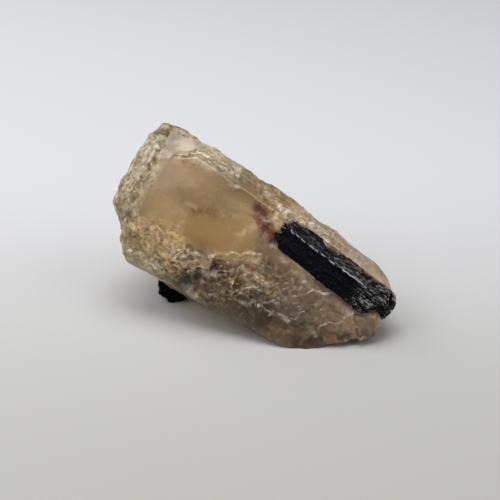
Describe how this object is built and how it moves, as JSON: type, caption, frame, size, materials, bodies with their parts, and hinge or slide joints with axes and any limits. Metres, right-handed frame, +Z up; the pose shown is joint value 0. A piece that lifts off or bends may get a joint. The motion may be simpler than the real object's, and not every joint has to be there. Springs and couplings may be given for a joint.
{
  "type": "tourmalinated quartz stone",
  "caption": "Rough broken lump of see-through smoky quartz with a black tourmaline rod lying in its front shoulder and a second rod as its foot.",
  "frame": {"origin": "on the floor under the middle of the stone's outline", "axes": "+X runs from the thick end to the thin end, +Z is up, and the front with the long rod is -Y"},
  "size_m": [0.0706, 0.0444, 0.046],
  "materials": {
    "quartz": "see-through smoky quartz, glossy on its broken faces",
    "tourmaline": "black, grooved, dull with glints along the grooves"
  },
  "bodies": {
    "root": {"quartz": "quartz", "tourmaline_rod": "tourmaline", "tourmaline_foot": "tourmaline"}
  },
  "joints": []
}
